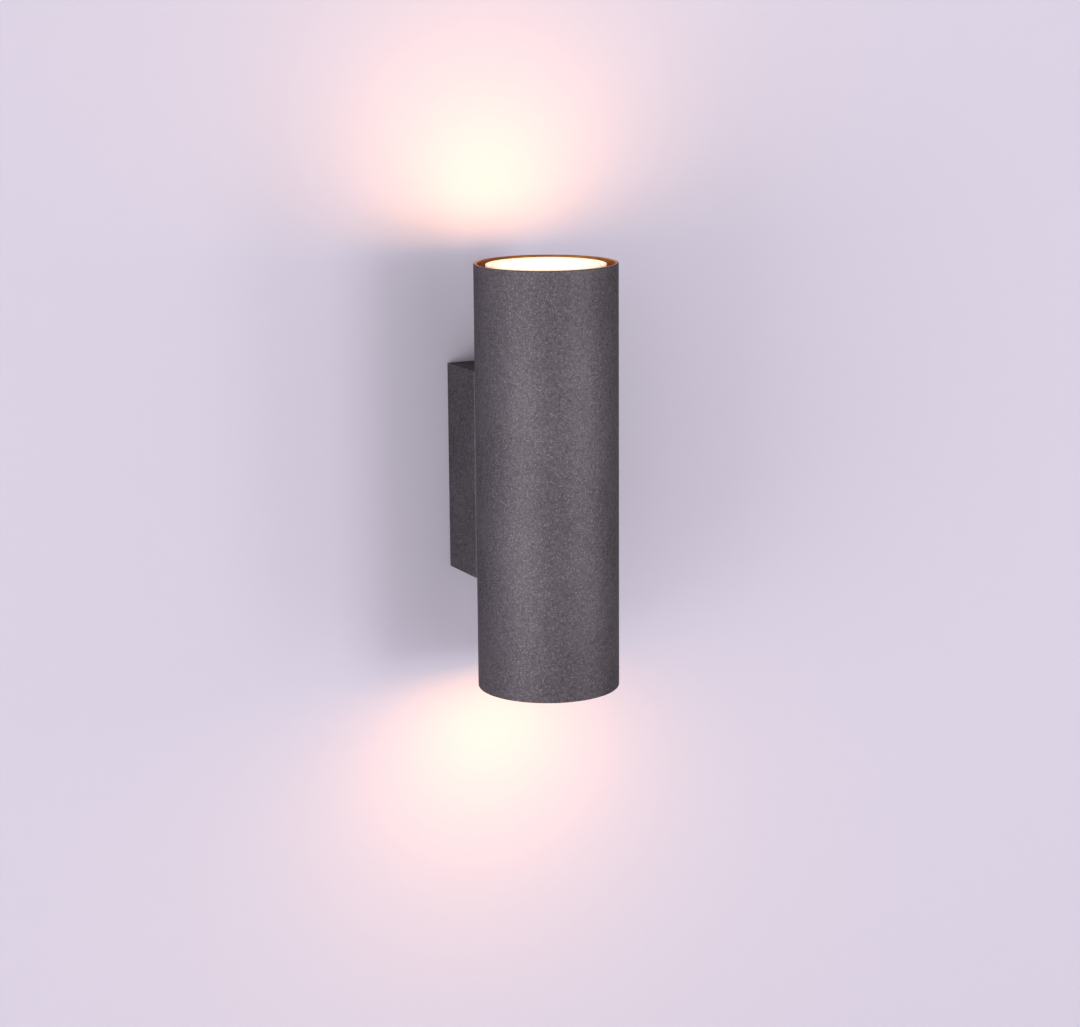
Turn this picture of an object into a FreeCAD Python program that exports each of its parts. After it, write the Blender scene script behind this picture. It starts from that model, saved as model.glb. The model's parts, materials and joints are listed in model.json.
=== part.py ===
import FreeCAD, Part
import math
import os
import re
import Sketcher

# Tube wall light: a round tube with a twist-lock reflector lamp at each end, carried
# by a folded sheet box that screws to a bracket on the wall.
#
# Frame: +Z up, +X to the right, +Y into the wall. The wall is the plane Y = 0, and the
# origin is the middle of the wall bracket's back face. Millimetres and degrees.

# Driving sizes: alias, value, what it is.
DRIVING_SIZES = [
    ("tube_diameter", 60, "outside of the tube"),
    ("tube_length", 180, "height of the tube"),
    ("tube_wall", 1.3, "thickness of the tube"),
    ("rim_rounding", 0.3, "rounding of the tube's four end edges"),
    ("tube_rise", 3, "middle of the tube above the middle of the wall box"),
    ("box_width", 38, "outside width of the wall box"),
    ("box_height", 90, "outside height of the wall box"),
    ("box_depth", 27.5, "from the wall to the front of the wall box"),
    ("box_sheet", 1.2, "sheet of the wall box"),
    ("box_fold", 1.6, "outside radius of the wall box's folds"),
    ("seam_width", 0.3, "open seam beside each flap of the wall box"),
    ("seam_end", 3, "the seams stop this far behind the front"),
    ("bracket_width", 30, "width of the wall bracket"),
    ("bracket_sheet", 1.5, "sheet of the wall bracket"),
    ("bracket_clearance", 0.3, "air between the bracket's lugs and the box's flaps"),
    ("lug_width", 12, "width of the bracket's lugs"),
    ("lug_depth", 11, "from the wall to the end of a lug"),
    ("wall_slot_spacing", 60, "between the two slots for wall screws"),
    ("wall_slot_width", 4.5, "width of a slot for wall screws"),
    ("wall_slot_length", 9, "length of a slot for wall screws"),
    ("cable_window", 16, "diameter of the cable window in the bracket"),
    ("cable_window_drop", 8.5, "middle of the window below the middle of the bracket"),
    ("thread_gap", 0.05, "air round a screw in its threaded hole"),
    ("hole_gap", 0.2, "air round a screw or a neck in its plain hole"),
    ("seat_gap", 0.3, "air between a lamp and its holder"),
    ("cover_screw_diameter", 3, "screws that hold the box to the bracket"),
    ("cover_screw_length", 7, "their length under the head"),
    ("tube_screw_diameter", 4, "screws that hold the tube to the box"),
    ("tube_screw_length", 13, "their length under the head"),
    ("tube_screw_inset", 8, "from a tab of the bridge to the nearer tube screw"),
    ("washer_thickness", 0.6, "washers and earth tags"),
    ("washer_diameter", 9, "outside of the washers"),
    ("nut_flats", 7, "across the flats of the bridge nuts"),
    ("nut_height", 3, "height of the bridge nuts"),
    ("bridge_width", 18, "width of the holder bridge"),
    ("bridge_sheet", 1.5, "sheet of the holder bridge"),
    ("bridge_bend", 3, "outside radius of the bridge's bends"),
    ("bridge_reach", 13, "from the tube's axis to the front end of a tab"),
    ("bridge_gap", 0.05, "air between the bridge's edges and the tube"),
    ("grommet_bore", 7.2, "bore of the cable grommet"),
    ("grommet_neck", 9.6, "neck of the cable grommet"),
    ("grommet_flange", 12, "flanges of the cable grommet"),
    ("grommet_lip", 1.2, "thickness of the grommet's flanges"),
    ("holder_diameter", 27, "outside of a lampholder"),
    ("holder_height", 11.5, "height of a lampholder's ceramic body"),
    ("holder_face", 2.5, "thickness of the face that the pins lock behind"),
    ("holder_boss", 12.4, "width of a lampholder's raised middle, between the shoulders for its screws"),
    ("holder_cover_height", 3, "thickness of a lampholder's rear plate"),
    ("holder_screw_diameter", 3, "screws that hold a lampholder to the bridge"),
    ("holder_screw_offset", 9.5, "from the lamp's axis to a holder screw"),
    ("holder_screw_reach", 3, "holder screws beyond the tab"),
    ("pin_pitch", 10, "between the two pins of a lamp"),
    ("pin_neck", 3, "diameter of a pin's neck"),
    ("pin_head", 5, "diameter of a pin's head"),
    ("pin_neck_length", 3.4, "height of a pin's neck below the lamp"),
    ("pin_head_length", 3.6, "height of a pin's head"),
    ("pin_stub", 2, "height of a pin inside the lamp's base"),
    ("twist_angle", 25, "twist of a lamp between unlocked and locked"),
    ("contact_sheet", 0.4, "thickness of a contact strip"),
    ("contact_width", 4, "width of a contact strip"),
    ("contact_top", 1.2, "from the holder's face down to the top of a contact"),
    ("wire_hole_offset", 5.5, "from the lamp's axis to a wire hole"),
    ("wire_hole", 3, "diameter of the wire holes in rear plate and bridge"),
    ("lamp_diameter", 50, "outside of a lamp"),
    ("lamp_length", 47, "from a lamp's base to its front edge"),
    ("lamp_recess", 0.5, "lamp's front edge inside the tube's end"),
    ("lamp_rim_height", 4, "straight front rim of a lamp"),
    ("lamp_wall", 1.5, "wall of a lamp's shell and base"),
    ("lamp_waist", 24, "diameter of a lamp where shell and base meet"),
    ("base_height", 13, "height of a lamp's base"),
    ("base_foot", 20, "diameter of a lamp's base at the holder"),
    ("base_floor", 2.4, "floor of a lamp's base"),
    ("lens_diameter", 48, "lens of a lamp"),
    ("lens_thickness", 2.2, "thickness of the lens at its edge"),
    ("lens_recess", 0.15, "lens behind the lamp's front edge"),
    ("lens_gap", 0.1, "air round the lens"),
    ("lens_border", 1.1, "plain border of the lens outside its groove"),
    ("lens_groove_width", 0.7, "width of the groove near the lens's edge"),
    ("lens_groove_depth", 0.5, "depth of the groove near the lens's edge"),
    ("lens_step", 0.3, "height of the low ring inside the groove"),
    ("lens_ring_width", 2.6, "width of the low ring inside the groove"),
    ("board_level", 9, "light board behind the lamp's front edge"),
    ("board_thickness", 1.6, "thickness of the light board"),
    ("board_ledge", 1.2, "ledge that carries the light board"),
    ("source_diameter", 9, "light source on its board"),
    ("source_height", 1.2, "height of the light source"),
    ("driver_width", 15, "width of the driver board"),
    ("driver_height", 22, "height of the driver board"),
    ("driver_thickness", 1.2, "thickness of the driver board"),
    ("pole_pitch", 11.5, "between the two poles of the terminal block"),
    ("block_height", 14, "terminal block, from the bracket to its front"),
    ("block_length", 17, "terminal block along its wires"),
    ("block_level", 4, "underside of the terminal block above the bracket's middle"),
    ("block_wall", 1.6, "block beyond and between its poles at the fixing screw"),
    ("sleeve_diameter", 5, "outside of a terminal sleeve"),
    ("sleeve_bore", 3, "bore of a terminal sleeve"),
    ("sleeve_depth", 7, "from the bracket to the axis of a sleeve"),
    ("terminal_screw_diameter", 2.6, "terminal screws"),
    ("terminal_screw_spacing", 8, "between the two screws of a pole"),
    ("earth_screw_side", 9, "earth screw to the left of the middle"),
    ("earth_screw_drop", 21, "earth screw below the middle"),
    ("tag_barrel", 2.6, "diameter of an earth tag's barrel"),
    ("tag_reach", 9.5, "from an earth tag's hole to the end of its barrel"),
    ("lead_diameter", 1.4, "insulated lead"),
    ("earth_wire_diameter", 1.8, "earth wire"),
    ("lead_pitch", 1.6, "between leads side by side in the grommet"),
    ("lead_entry", 4, "length of a lead inside its sleeve"),
]

# Worked-out sizes, each an expression on the driving sizes and on the ones above it.
DERIVED_SIZES = {
    "tube_radius": "tube_diameter / 2",
    "tube_bore": "tube_diameter / 2 - tube_wall",
    "axis_to_wall": "box_depth + tube_diameter / 2",
    # levels in a half of the tube, measured from the tube's middle
    "lamp_front": "tube_length / 2 - lamp_recess",
    "lamp_foot": "lamp_front - lamp_length",
    "holder_top": "lamp_foot - seat_gap",
    "cover_top": "holder_top - holder_height",
    "tab_top": "cover_top - holder_cover_height",
    "tab_under": "tab_top - bridge_sheet",
    "tube_screw_level": "tab_top - tube_screw_inset",
    # distances behind the tube's axis
    "bridge_back": "sqrt(tube_bore ^ 2 - (bridge_width / 2) ^ 2) - bridge_gap",
    "bridge_front": "bridge_back - bridge_sheet",
    "grommet_seat": "sqrt(tube_bore ^ 2 - (grommet_flange / 2) ^ 2)",
    # the wall box and what stands in it
    "box_inside": "box_depth - box_sheet",
    "flap_inside": "box_height / 2 - box_sheet",
    "lug_outside": "flap_inside - bracket_clearance",
    "lug_hole": "lug_depth - cover_screw_diameter * 1.5",
    "lead_front": "(block_height + box_inside - washer_thickness * 2 - tube_screw_diameter) / 2",
    "block_width": "pole_pitch * 2 + block_wall",
    "block_middle": "block_level + block_length / 2",
    # a lamp, measured up from its foot
    "shell_radius": "lamp_diameter / 2",
    "lens_top": "lamp_length - lens_recess",
    "lens_seat": "lens_top - lens_thickness",
    "board_top": "lamp_length - board_level",
    "board_seat": "board_top - board_thickness",
    "cone_top": "lamp_length - lamp_rim_height",
    "cone_slope": "(shell_radius - lamp_waist / 2) / (cone_top - base_height)",
    "board_radius": "lamp_waist / 2 + (board_seat - base_height) * cone_slope - lamp_wall - thread_gap",
}

NO_TURN = FreeCAD.Rotation()
UPSIDE_DOWN = FreeCAD.Rotation(FreeCAD.Vector(1, 0, 0), 180)
TO_WALL = FreeCAD.Rotation(FreeCAD.Vector(1, 0, 0), -90)
FROM_WALL = FreeCAD.Rotation(FreeCAD.Vector(1, 0, 0), 90)
HALF_TURN = FreeCAD.Rotation(FreeCAD.Vector(0, 0, 1), 180)

doc = FreeCAD.newDocument("TubeWallLight")
sizes = doc.addObject("Spreadsheet::Sheet", "Sizes")
for row, (alias, value, meaning) in enumerate(DRIVING_SIZES, start=1):
    sizes.set(f"A{row}", meaning)
    sizes.set(f"B{row}", str(value))
    sizes.setAlias(f"B{row}", alias)
doc.recompute()

DRIVERS = {alias for alias, value, meaning in DRIVING_SIZES}


def formula(text):
    """Write out a size or a sum of sizes as an expression on the sheet's cells."""
    def written_out(match):
        word = match.group(0)
        if word in DERIVED_SIZES:
            return "(" + formula(DERIVED_SIZES[word]) + ")"
        return "Sizes." + word if word in DRIVERS else word
    return re.sub(r"[a-z_]+[a-z]", written_out, str(text))


def size(text):
    """Value of a size or of a sum of sizes."""
    return float(sizes.evalExpression(formula(text)))


def bind(item, links):
    """Bind properties of an object to sizes."""
    for name, text in links.items():
        item.setExpression(name, formula(text))


def place(item, x=0, y=0, z=0, turn=NO_TURN):
    """Turn an object and bind its place to sizes."""
    item.Placement = FreeCAD.Placement(FreeCAD.Vector(size(x), size(y), size(z)), turn)
    bind(item, {"Placement.Base.x": x, "Placement.Base.y": y, "Placement.Base.z": z})
    return item


# Plain solids and how they are joined -------------------------------------------------

def cylinder(name, diameter, height, x=0, y=0, z=0, turn=NO_TURN):
    """Round bar that stands on its own origin."""
    item = doc.addObject("Part::Cylinder", name)
    bind(item, {"Radius": f"({diameter}) / 2", "Height": height})
    return place(item, x, y, z, turn)


def block(name, width, depth, height, x=0, y=0, z=0):
    """Box centred on its own origin in X and Y, that stands on it."""
    item = doc.addObject("Part::Box", name)
    bind(item, {"Length": width, "Width": depth, "Height": height})
    return place(item, f"{x} - ({width}) / 2", f"{y} - ({depth}) / 2", z)


def fuse(name, items):
    item = doc.addObject("Part::MultiFuse", name)
    item.Shapes = items
    return item


def group(name, items):
    """Several separate solids of one kind."""
    item = doc.addObject("Part::Compound", name)
    item.Links = items
    return item


def cut(name, base, tools):
    item = doc.addObject("Part::Cut", name)
    item.Base = base
    item.Tool = tools[0] if len(tools) == 1 else fuse(name + "_tools", tools)
    return item


# Sketches and the features made from them ---------------------------------------------

def new_body(name):
    return doc.addObject("PartDesign::Body", name)


def sketch_on(body, role, name, offset=0):
    """Sketch on one of the body's own planes, or at an offset along its normal."""
    sketch = body.newObject("Sketcher::SketchObject", name)
    plane = next(item for item in body.Origin.OriginFeatures if item.Role == role)
    sketch.AttachmentSupport = [(plane, "")]
    sketch.MapMode = "FlatFace"
    bind(sketch, {"AttachmentOffset.Base.z": offset})
    return sketch


def dimension(sketch, kind, where, text):
    """Dimension of a sketch that is bound to a size."""
    index = sketch.addConstraint(Sketcher.Constraint(kind, *where, size(text)))
    sketch.setExpression(f"Constraints[{index}]", formula(text))


def outline(sketch, corners):
    """Closed outline of straight lines, each corner dimensioned from the origin."""
    points = [FreeCAD.Vector(size(x), size(y), 0) for x, y in corners]
    first = sketch.GeometryCount
    last = first + len(points) - 1
    for start, end in zip(points, points[1:] + points[:1]):
        sketch.addGeometry(Part.LineSegment(start, end), False)
    for line in range(first, last + 1):
        following = first if line == last else line + 1
        sketch.addConstraint(Sketcher.Constraint("Coincident", line, 2, following, 1))
    for line, (x, y) in enumerate(corners, start=first):
        dimension(sketch, "DistanceX", (-1, 1, line, 1), x)
        dimension(sketch, "DistanceY", (-1, 1, line, 1), y)


def rectangle(sketch, width, height, x="0", y="0"):
    """Rectangle centred on a point of the sketch."""
    left, right = f"{x} - ({width}) / 2", f"{x} + ({width}) / 2"
    low, high = f"{y} - ({height}) / 2", f"{y} + ({height}) / 2"
    outline(sketch, [(left, low), (right, low), (right, high), (left, high)])


def circle(sketch, diameter, x="0", y="0"):
    middle = FreeCAD.Vector(size(x), size(y), 0)
    up = FreeCAD.Vector(0, 0, 1)
    index = sketch.addGeometry(Part.Circle(middle, up, size(diameter) / 2), False)
    dimension(sketch, "DistanceX", (-1, 1, index, 3), x)
    dimension(sketch, "DistanceY", (-1, 1, index, 3), y)
    dimension(sketch, "Diameter", (index,), diameter)


def pad(body, sketch, length, symmetric=False):
    feature = body.newObject("PartDesign::Pad", sketch.Name + "_pad")
    feature.Profile = sketch
    feature.SideType = "Symmetric" if symmetric else "One side"
    bind(feature, {"Length": length})
    doc.recompute()
    return feature


def pocket(body, sketch, length=None, symmetric=False):
    """Pocket that must take material away, to a depth or right through."""
    before = body.Shape.Volume
    feature = body.newObject("PartDesign::Pocket", sketch.Name + "_pocket")
    feature.Profile = sketch
    feature.SideType = "Symmetric" if symmetric else "One side"
    if length is None:
        feature.Type = "ThroughAll"
    else:
        bind(feature, {"Length": length})
    doc.recompute()
    if not body.Shape.Volume < before:
        raise RuntimeError(f"{feature.Name} cuts nothing")
    return feature


def turned(name, corners):
    """Body turned about its own Z axis from an outline of radius and level."""
    body = new_body(name)
    profile = sketch_on(body, "XZ_Plane", name + "_profile")
    outline(profile, corners)
    feature = body.newObject("PartDesign::Revolution", name + "_turn")
    feature.Profile = profile
    feature.ReferenceAxis = (profile, ["V_Axis"])
    feature.Angle = 360
    doc.recompute()
    return body


def round_edges(body, name, feature, chosen, radius):
    """Round the edges of a feature that a test picks out."""
    names = [f"Edge{i}" for i, edge in enumerate(feature.Shape.Edges, start=1) if chosen(edge)]
    if not names:
        raise RuntimeError(f"{name} finds no edge")
    fillet = body.newObject("PartDesign::Fillet", name)
    fillet.Base = (feature, names)
    bind(fillet, {"Radius": radius})
    doc.recompute()
    return fillet


# Fasteners ----------------------------------------------------------------------------

# proportions of a pan head and its recess, as shares of the screw's diameter
HEAD_WIDTH, HEAD_HEIGHT = 1.9, 0.65
RECESS_LENGTH, RECESS_WIDTH, RECESS_DEPTH = 1.1, 0.26, 0.4


def screw(name, diameter, length, cross=True):
    """Pan-head screw: head above its origin, shank below it, with a recess in the head."""
    shank = cylinder(name + "_shank", diameter, length, z=f"-({length})")
    head = cylinder(name + "_head", f"({diameter}) * {HEAD_WIDTH}", f"({diameter}) * {HEAD_HEIGHT}")
    blank = fuse(name + "_blank", [shank, head])
    bar_length, bar_width = f"({diameter}) * {RECESS_LENGTH}", f"({diameter}) * {RECESS_WIDTH}"
    bar_depth = f"({diameter}) * {RECESS_DEPTH}"
    level = f"({diameter}) * ({HEAD_HEIGHT} - {RECESS_DEPTH})"
    bars = [block(name + "_bar", bar_length, bar_width, bar_depth, z=level)]
    if cross:
        bars.append(block(name + "_cross_bar", bar_width, bar_length, bar_depth, z=level))
    return cut(name, blank, bars)


def washer(name, bore):
    disc = cylinder(name + "_disc", "washer_diameter", "washer_thickness")
    hole = cylinder(name + "_hole", bore, "washer_thickness")
    return cut(name, disc, [hole])


def nut(name, diameter):
    """Hexagon nut that stands on its origin."""
    prism = doc.addObject("Part::Prism", name + "_prism")
    prism.Polygon = 6
    bind(prism, {"Circumradius": "nut_flats / sqrt(3)", "Height": "nut_height"})
    hole = cylinder(name + "_hole", f"{diameter} + thread_gap * 2", "nut_height")
    return cut(name, prism, [hole])


# Tube and wall box --------------------------------------------------------------------

def make_tube():
    """Round tube with two screw holes and a lead hole in the wall that faces the box."""
    body = new_body("tube")
    ring = sketch_on(body, "XY_Plane", "tube_ring")
    circle(ring, "tube_diameter")
    circle(ring, "tube_bore * 2")
    blank = pad(body, ring, "tube_length", symmetric=True)
    rims = round_edges(body, "tube_rims", blank, lambda edge: edge.BoundBox.ZLength < 0.001, "rim_rounding")
    holes = sketch_on(body, "XZ_Plane", "tube_holes")
    for level in ("tube_screw_level", "-tube_screw_level"):
        circle(holes, "tube_screw_diameter + hole_gap * 2", y=level)
    circle(holes, "grommet_neck + hole_gap")
    body.Tip = pocket(body, holes)
    if body.Shape.Volume > rims.Shape.Volume:
        raise RuntimeError("the tube has no holes")
    return place(body, y="-axis_to_wall", z="tube_rise")


def make_wall_box():
    """Box folded from one sheet: a front, two full sides and a flap let in between them
    at the top and bottom. Its back is open to the wall."""
    body = new_body("wall_box")
    face = sketch_on(body, "XZ_Plane", "box_face")
    rectangle(face, "box_width", "box_height")
    blank = pad(body, face, "box_depth")
    front = -size("box_depth")
    folds = round_edges(body, "box_folds", blank, lambda edge: edge.BoundBox.YMax < front + 0.001, "box_fold")
    hollow = sketch_on(body, "XZ_Plane", "box_hollow")
    rectangle(hollow, "box_width - box_sheet * 2", "box_height - box_sheet * 2")
    inside = body.newObject("PartDesign::Pocket", "box_hollow_pocket")
    inside.Profile = hollow
    inside.Reversed = True
    bind(inside, {"Length": "box_inside"})
    doc.recompute()
    if not inside.Shape.Volume < folds.Shape.Volume * 0.5:
        raise RuntimeError("the wall box isn't hollow")
    seams = sketch_on(body, "XY_Plane", "box_seams")
    for side in ("-", ""):
        rectangle(seams, "seam_width", "box_depth - seam_end",
                  x=f"{side}(box_width / 2 - box_sheet - seam_width / 2)", y="-(box_depth - seam_end) / 2")
    pocket(body, seams, symmetric=True)
    screws = sketch_on(body, "XY_Plane", "box_cover_screw_holes")
    circle(screws, "cover_screw_diameter + hole_gap * 2", y="-lug_hole")
    pocket(body, screws, symmetric=True)
    holes = sketch_on(body, "XZ_Plane", "box_front_holes")
    for level in ("tube_rise + tube_screw_level", "tube_rise - tube_screw_level"):
        circle(holes, "tube_screw_diameter + hole_gap * 2", y=level)
    circle(holes, "grommet_neck + hole_gap", y="tube_rise")
    body.Tip = pocket(body, holes, symmetric=True)
    return body


def make_wall_bracket():
    """Strip with a lug bent out at each end, slots for wall screws and a cable window."""
    body = new_body("wall_bracket")
    strip = sketch_on(body, "XZ_Plane", "bracket_strip")
    rectangle(strip, "bracket_width", "lug_outside * 2")
    pad(body, strip, "bracket_sheet")
    for side, name in (("", "upper"), ("-", "lower")):
        lug = sketch_on(body, "XZ_Plane", f"bracket_{name}_lug")
        rectangle(lug, "lug_width", "bracket_sheet", y=f"{side}(lug_outside - bracket_sheet / 2)")
        pad(body, lug, "lug_depth")
    threads = sketch_on(body, "XY_Plane", "bracket_lug_threads")
    circle(threads, "cover_screw_diameter + thread_gap * 2", y="-lug_hole")
    pocket(body, threads, symmetric=True)
    slots = sketch_on(body, "XZ_Plane", "bracket_wall_slots")
    for side in ("", "-"):
        rectangle(slots, "wall_slot_width", "wall_slot_length - wall_slot_width",
                  y=f"{side}wall_slot_spacing / 2")
    pocket(body, slots, symmetric=True)
    for end in ("-", "+"):
        rounds = sketch_on(body, "XZ_Plane", "bracket_slot_" + ("low_ends" if end == "-" else "high_ends"))
        for side in ("", "-"):
            middle = f"{side}wall_slot_spacing / 2 {end} (wall_slot_length - wall_slot_width) / 2"
            circle(rounds, "wall_slot_width", y=middle)
        pocket(body, rounds, symmetric=True)
    holes = sketch_on(body, "XZ_Plane", "bracket_holes")
    circle(holes, "cable_window", y="-cable_window_drop")
    circle(holes, "tube_screw_diameter + thread_gap * 2", x="-earth_screw_side", y="-earth_screw_drop")
    circle(holes, "cover_screw_diameter + thread_gap * 2", y="block_middle")
    body.Tip = pocket(body, holes, symmetric=True)
    return body


def make_cover_screws():
    """Screws through the box's flaps into the bracket's lugs."""
    top = screw("cover_screw_top", "cover_screw_diameter", "cover_screw_length")
    place(top, y="-lug_hole", z="box_height / 2")
    bottom = screw("cover_screw_bottom", "cover_screw_diameter", "cover_screw_length")
    place(bottom, y="-lug_hole", z="-box_height / 2", turn=UPSIDE_DOWN)
    return group("cover_screws", [top, bottom])


# What joins the tube to the box --------------------------------------------------------

def make_tube_washers():
    upper = washer("tube_washer_upper", "tube_screw_diameter + hole_gap * 2")
    place(upper, y="-box_inside", z="tube_rise + tube_screw_level", turn=TO_WALL)
    lower = washer("tube_washer_lower", "tube_screw_diameter + hole_gap * 2")
    place(lower, y="-box_inside + washer_thickness", z="tube_rise - tube_screw_level", turn=TO_WALL)
    return group("tube_washers", [upper, lower])


def make_tube_screws():
    """Screws from inside the box through the tube into the bridge. The earth tag lies
    under the lower one's washer."""
    upper = screw("tube_screw_upper", "tube_screw_diameter", "tube_screw_length")
    place(upper, y="-box_inside + washer_thickness", z="tube_rise + tube_screw_level", turn=TO_WALL)
    lower = screw("tube_screw_lower", "tube_screw_diameter", "tube_screw_length")
    place(lower, y="-box_inside + washer_thickness * 2", z="tube_rise - tube_screw_level", turn=TO_WALL)
    return group("tube_screws", [upper, lower])


def make_bridge_nuts():
    nuts = []
    for side, name in (("+", "upper"), ("-", "lower")):
        item = nut(f"bridge_nut_{name}", "tube_screw_diameter")
        place(item, y="-axis_to_wall + bridge_front - nut_height",
              z=f"tube_rise {side} tube_screw_level", turn=TO_WALL)
        nuts.append(item)
    return group("bridge_nuts", nuts)


def make_holder_bridge():
    """U of sheet steel inside the tube: its back lies along the tube's wall and its two
    tabs carry the lampholders."""
    body = new_body("holder_bridge")
    side_view = sketch_on(body, "YZ_Plane", "bridge_side_view")
    outline(side_view, [
        ("bridge_back", "-tab_top"), ("bridge_back", "tab_top"), ("-bridge_reach", "tab_top"),
        ("-bridge_reach", "tab_under"), ("bridge_front", "tab_under"), ("bridge_front", "-tab_under"),
        ("-bridge_reach", "-tab_under"), ("-bridge_reach", "-tab_top")])
    blank = pad(body, side_view, "bridge_width", symmetric=True)
    back = size("bridge_back")

    def outer_bend(edge):
        return edge.BoundBox.YMin > back - 0.001 and edge.BoundBox.ZLength < 0.001

    round_edges(body, "bridge_bends", blank, outer_bend, "bridge_bend")
    tabs = sketch_on(body, "XY_Plane", "bridge_tab_holes")
    for side in ("", "-"):
        circle(tabs, "holder_screw_diameter + thread_gap * 2", y=f"{side}holder_screw_offset")
        circle(tabs, "wire_hole", x=f"{side}wire_hole_offset")
    pocket(body, tabs, symmetric=True)
    holes = sketch_on(body, "XZ_Plane", "bridge_back_holes")
    for level in ("tube_screw_level", "-tube_screw_level"):
        circle(holes, "tube_screw_diameter + hole_gap * 2", y=level)
    circle(holes, "grommet_flange + hole_gap * 2")
    body.Tip = pocket(body, holes)
    return place(body, y="-axis_to_wall", z="tube_rise")


def make_cable_grommet():
    """Rubber bush through the box's front and the tube's wall. Its inner flange seats on
    the hollow side of the tube, so the neck is longer than the two sheets."""
    neck = "box_sheet + tube_radius - grommet_seat"
    bore, waist, flange = "grommet_bore / 2", "grommet_neck / 2", "grommet_flange / 2"
    top = f"{neck} + grommet_lip"
    body = turned("cable_grommet", [
        (bore, "-grommet_lip"), (flange, "-grommet_lip"), (flange, "0"), (waist, "0"),
        (waist, neck), (flange, neck), (flange, top), (bore, top)])
    return place(body, y="-axis_to_wall + grommet_seat", z="tube_rise", turn=TO_WALL)


# Mains terminal and earth -------------------------------------------------------------

def make_terminal_block():
    """Two-pole block on the bracket. Each pole is a barrel for a sleeve, with two wells
    for its screws, and a fixing screw passes between the poles."""
    body = block("block_blank", "block_width", "block_height", "block_length",
                 y="-bracket_sheet - block_height / 2", z="block_level")
    holes = []
    for side, name in (("-", "left"), ("", "right")):
        x = f"{side}pole_pitch / 2"
        holes.append(cylinder(f"block_barrel_{name}", "sleeve_diameter + thread_gap * 2", "block_length",
                              x=x, y="-bracket_sheet - sleeve_depth", z="block_level"))
        for end, place_name in (("-", "low"), ("+", "high")):
            holes.append(cylinder(f"block_well_{name}_{place_name}", "terminal_screw_diameter * 2",
                                  "block_height - sleeve_depth", x=x, y="-bracket_sheet - block_height",
                                  z=f"block_middle {end} terminal_screw_spacing / 2", turn=TO_WALL))
    holes.append(cylinder("block_fixing_hole", "cover_screw_diameter + hole_gap * 2", "block_height",
                          y="-bracket_sheet - block_height", z="block_middle", turn=TO_WALL))
    holes.append(cylinder("block_fixing_well", "cover_screw_diameter * 2", "block_height / 2",
                          y="-bracket_sheet - block_height", z="block_middle", turn=TO_WALL))
    return cut("terminal_block", body, holes)


def make_terminal_sleeves():
    sleeves = []
    for side, name in (("-", "left"), ("", "right")):
        x, y = f"{side}pole_pitch / 2", "-bracket_sheet - sleeve_depth"
        bar = cylinder(f"sleeve_bar_{name}", "sleeve_diameter", "block_length", x=x, y=y, z="block_level")
        holes = [cylinder(f"sleeve_bore_{name}", "sleeve_bore", "block_length", x=x, y=y, z="block_level")]
        for end, place_name in (("-", "low"), ("+", "high")):
            holes.append(cylinder(f"sleeve_thread_{name}_{place_name}",
                                  "terminal_screw_diameter + thread_gap * 2", "sleeve_diameter / 2",
                                  x=x, y=f"{y} - sleeve_diameter / 2",
                                  z=f"block_middle {end} terminal_screw_spacing / 2", turn=TO_WALL))
        sleeves.append(cut(f"sleeve_{name}", bar, holes))
    return group("terminal_sleeves", sleeves)


def make_terminal_screws():
    """Slotted screws that clamp the wires in the sleeves."""
    screws = []
    for side, name in (("-", "left"), ("", "right")):
        for end, place_name in (("-", "low"), ("+", "high")):
            item = screw(f"terminal_screw_{name}_{place_name}", "terminal_screw_diameter",
                         "(sleeve_diameter - sleeve_bore) / 2", cross=False)
            place(item, x=f"{side}pole_pitch / 2", y="-bracket_sheet - sleeve_depth - sleeve_diameter / 2",
                  z=f"block_middle {end} terminal_screw_spacing / 2", turn=FROM_WALL)
            screws.append(item)
    return group("terminal_screws", screws)


def make_block_screw():
    """Fixing screw of the terminal block, into the bracket."""
    item = screw("block_screw", "cover_screw_diameter", "block_height / 2 + bracket_sheet")
    return place(item, y="-bracket_sheet - block_height / 2", z="block_middle", turn=FROM_WALL)


def make_earth_screw():
    item = screw("earth_screw", "tube_screw_diameter", "bracket_sheet + washer_thickness * 2")
    return place(item, x="-earth_screw_side", y="-bracket_sheet - washer_thickness * 2",
                 z="-earth_screw_drop", turn=FROM_WALL)


def make_earth_washer():
    item = washer("earth_washer", "tube_screw_diameter + hole_gap * 2")
    return place(item, x="-earth_screw_side", y="-bracket_sheet - washer_thickness * 2",
                 z="-earth_screw_drop", turn=TO_WALL)


def earth_tag(name):
    """Ring tag that lies on its origin, with its barrel along its own -Y."""
    ring = cylinder(name + "_ring", "washer_diameter", "washer_thickness")
    tongue = block(name + "_tongue", "tag_barrel", "tag_reach", "washer_thickness", y="-tag_reach / 2")
    barrel_start = "washer_diameter / 2 + washer_thickness"
    barrel = cylinder(name + "_barrel", "tag_barrel", f"tag_reach - ({barrel_start})", y=f"-({barrel_start})",
                      z="tag_barrel / 2", turn=FROM_WALL)
    hole = cylinder(name + "_hole", "tube_screw_diameter + hole_gap * 2", "washer_thickness")
    return cut(name, fuse(name + "_blank", [ring, tongue, barrel]), [hole])


def make_earth_tags():
    """One tag under the earth screw, one under the lower tube screw, barrels downwards."""
    on_bracket = earth_tag("earth_tag_bracket")
    place(on_bracket, x="-earth_screw_side", y="-bracket_sheet", z="-earth_screw_drop", turn=FROM_WALL)
    on_tube = earth_tag("earth_tag_tube")
    place(on_tube, y="-box_inside", z="tube_rise - tube_screw_level", turn=TO_WALL.multiply(HALF_TURN))
    return group("earth_tags", [on_bracket, on_tube])


# Lampholders: built with the lamp's side up and the face at Z = 0 ----------------------

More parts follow.
